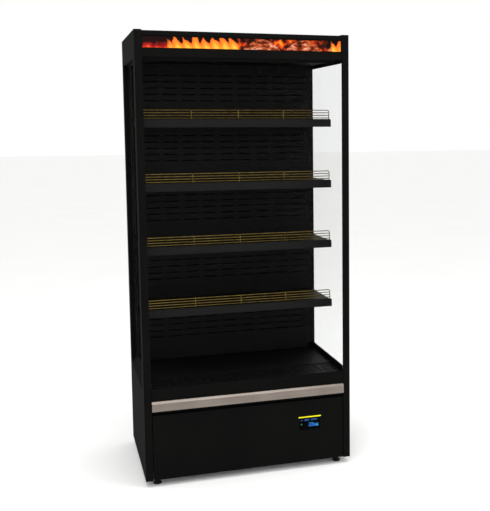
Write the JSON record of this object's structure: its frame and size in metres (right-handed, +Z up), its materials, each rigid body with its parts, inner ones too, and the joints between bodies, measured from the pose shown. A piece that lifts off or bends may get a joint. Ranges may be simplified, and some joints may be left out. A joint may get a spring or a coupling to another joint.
{
  "type": "hot food display case",
  "caption": "Tall open-fronted heated multideck case with glazed ends, tiered shelves, lit header sign, bumper rail, kick panel controller and levelling feet.",
  "frame": {"origin": "on the floor under the middle of the case's box", "axes": "+X to the viewer's right, the open front faces -Y, +Z up"},
  "size_m": [0.95, 0.64, 2],
  "materials": {
    "powder_coat_black": "satin",
    "oven_enamel_black": "satin",
    "bumper_steel": "satin",
    "fence_wire": "polished",
    "tempered_glass": "polished",
    "black_rubber": "matte",
    "sign_print": "gloss",
    "white_enamel": "satin",
    "led_board": "satin",
    "opal_diffuser": "satin",
    "galvanised_sheet": "satin",
    "mineral_wool": "matte",
    "fan_plastic": "matte",
    "heater_steel": "satin",
    "controller_plastic": "gloss",
    "screen_glass": "gloss",
    "yellow_light": "gloss",
    "ticket_plastic": "satin",
    "zinc_screw": "satin",
    "foot_nylon": "matte",
    "switch_plastic": "gloss"
  },
  "bodies": {
    "cabinet": {"left_end_panel": "powder_coat_black", "right_end_panel": "powder_coat_black", "window_frames": "powder_coat_black", "roof_panel": "powder_coat_black", "rear_panel": "galvanised_sheet", "left_side_glass": "tempered_glass", "right_side_glass": "tempered_glass", "glass_gaskets": "black_rubber", "panel_screws": "zinc_screw", "insulation_boards": "mineral_wool", "header_fascia": "powder_coat_black", "header_sign": "sign_print", "sign_light_tray": "white_enamel", "sign_led_strip": "led_board", "canopy_duct": "oven_enamel_black", "air_curtain_grille": "oven_enamel_black", "canopy_lamp": "opal_diffuser", "back_air_panel": "oven_enamel_black", "shelf_uprights": "oven_enamel_black", "plenum_liner": "oven_enamel_black", "base_tub": "oven_enamel_black", "fan_housings": "fan_plastic", "heater_bank": "heater_steel", "temperature_probe": "heater_steel", "apron_panel": "powder_coat_black", "bumper_rail": "bumper_steel", "base_chassis": "galvanised_sheet", "electrical_box": "galvanised_sheet", "cable_gland": "fan_plastic", "switch_housing": "switch_plastic"},
    "switch": {"switch_rocker": "switch_plastic"},
    "left_fan": {"left_fan_impeller": "fan_plastic"},
    "right_fan": {"right_fan_impeller": "fan_plastic"},
    "deck": {"deck_tray": "oven_enamel_black"},
    "air_grille": {"return_air_grille": "oven_enamel_black"},
    "kick": {"kick_panel": "powder_coat_black", "display_housing": "controller_plastic", "display_screen": "screen_glass", "display_light_bar": "yellow_light"},
    "shelf_1": {"shelf_tray_1": "oven_enamel_black", "shelf_brackets_1": "oven_enamel_black", "ticket_rail_1": "ticket_plastic"},
    "fence_1": {"product_fence_1": "fence_wire"},
    "shelf_2": {"shelf_tray_2": "oven_enamel_black", "shelf_brackets_2": "oven_enamel_black", "ticket_rail_2": "ticket_plastic"},
    "fence_2": {"product_fence_2": "fence_wire"},
    "shelf_3": {"shelf_tray_3": "oven_enamel_black", "shelf_brackets_3": "oven_enamel_black", "ticket_rail_3": "ticket_plastic"},
    "fence_3": {"product_fence_3": "fence_wire"},
    "shelf_4": {"shelf_tray_4": "oven_enamel_black", "shelf_brackets_4": "oven_enamel_black", "ticket_rail_4": "ticket_plastic"},
    "fence_4": {"product_fence_4": "fence_wire"},
    "foot_left_front": {"levelling_foot_left_front": "foot_nylon"},
    "foot_left_rear": {"levelling_foot_left_rear": "foot_nylon"},
    "foot_right_front": {"levelling_foot_right_front": "foot_nylon"},
    "foot_right_rear": {"levelling_foot_right_rear": "foot_nylon"}
  },
  "joints": [
    {"name": "left_fan_spin", "type": "hinge", "parent": "cabinet", "child": "left_fan", "pos_m": [-0.2, -0.0485, 0.342], "axis": [0, 1, 0], "continuous": true},
    {"name": "right_fan_spin", "type": "hinge", "parent": "cabinet", "child": "right_fan", "pos_m": [0.2, -0.0485, 0.342], "axis": [0, 1, 0], "continuous": true},
    {"name": "main_switch_rock", "type": "hinge", "parent": "cabinet", "child": "switch", "pos_m": [0.25, 0.311, 0.12], "axis": [1, 0, 0], "range_deg": [0, 18]},
    {"name": "deck_tray_lift", "type": "slide", "parent": "cabinet", "child": "deck", "axis": [0, 0, 1], "range_m": [0, 0.06]},
    {"name": "air_grille_lift", "type": "slide", "parent": "cabinet", "child": "air_grille", "axis": [0, 0, 1], "range_m": [0, 0.05]},
    {"name": "kick_panel_pull", "type": "slide", "parent": "cabinet", "child": "kick", "axis": [0, -1, 0], "range_m": [0, 0.15]},
    {"name": "shelf_1_tilt", "type": "hinge", "parent": "cabinet", "child": "shelf_1", "pos_m": [0, 0.164, 0.745], "axis": [-1, 0, 0], "range_deg": [0, 12]},
    {"name": "fence_1_lift", "type": "slide", "parent": "shelf_1", "child": "fence_1", "axis": [0, 0, 1], "range_m": [0, 0.04]},
    {"name": "shelf_2_tilt", "type": "hinge", "parent": "cabinet", "child": "shelf_2", "pos_m": [0, 0.164, 1.032], "axis": [-1, 0, 0], "range_deg": [0, 12]},
    {"name": "fence_2_lift", "type": "slide", "parent": "shelf_2", "child": "fence_2", "axis": [0, 0, 1], "range_m": [0, 0.04]},
    {"name": "shelf_3_tilt", "type": "hinge", "parent": "cabinet", "child": "shelf_3", "pos_m": [0, 0.164, 1.319], "axis": [-1, 0, 0], "range_deg": [0, 12]},
    {"name": "fence_3_lift", "type": "slide", "parent": "shelf_3", "child": "fence_3", "axis": [0, 0, 1], "range_m": [0, 0.04]},
    {"name": "shelf_4_tilt", "type": "hinge", "parent": "cabinet", "child": "shelf_4", "pos_m": [0, 0.164, 1.606], "axis": [-1, 0, 0], "range_deg": [0, 12]},
    {"name": "fence_4_lift", "type": "slide", "parent": "shelf_4", "child": "fence_4", "axis": [0, 0, 1], "range_m": [0, 0.04]},
    {"name": "foot_left_front_screw", "type": "slide", "parent": "cabinet", "child": "foot_left_front", "axis": [0, 0, 1], "range_m": [0, 0.009]},
    {"name": "foot_left_rear_screw", "type": "slide", "parent": "cabinet", "child": "foot_left_rear", "axis": [0, 0, 1], "range_m": [0, 0.009]},
    {"name": "foot_right_front_screw", "type": "slide", "parent": "cabinet", "child": "foot_right_front", "axis": [0, 0, 1], "range_m": [0, 0.009]},
    {"name": "foot_right_rear_screw", "type": "slide", "parent": "cabinet", "child": "foot_right_rear", "axis": [0, 0, 1], "range_m": [0, 0.009]}
  ]
}
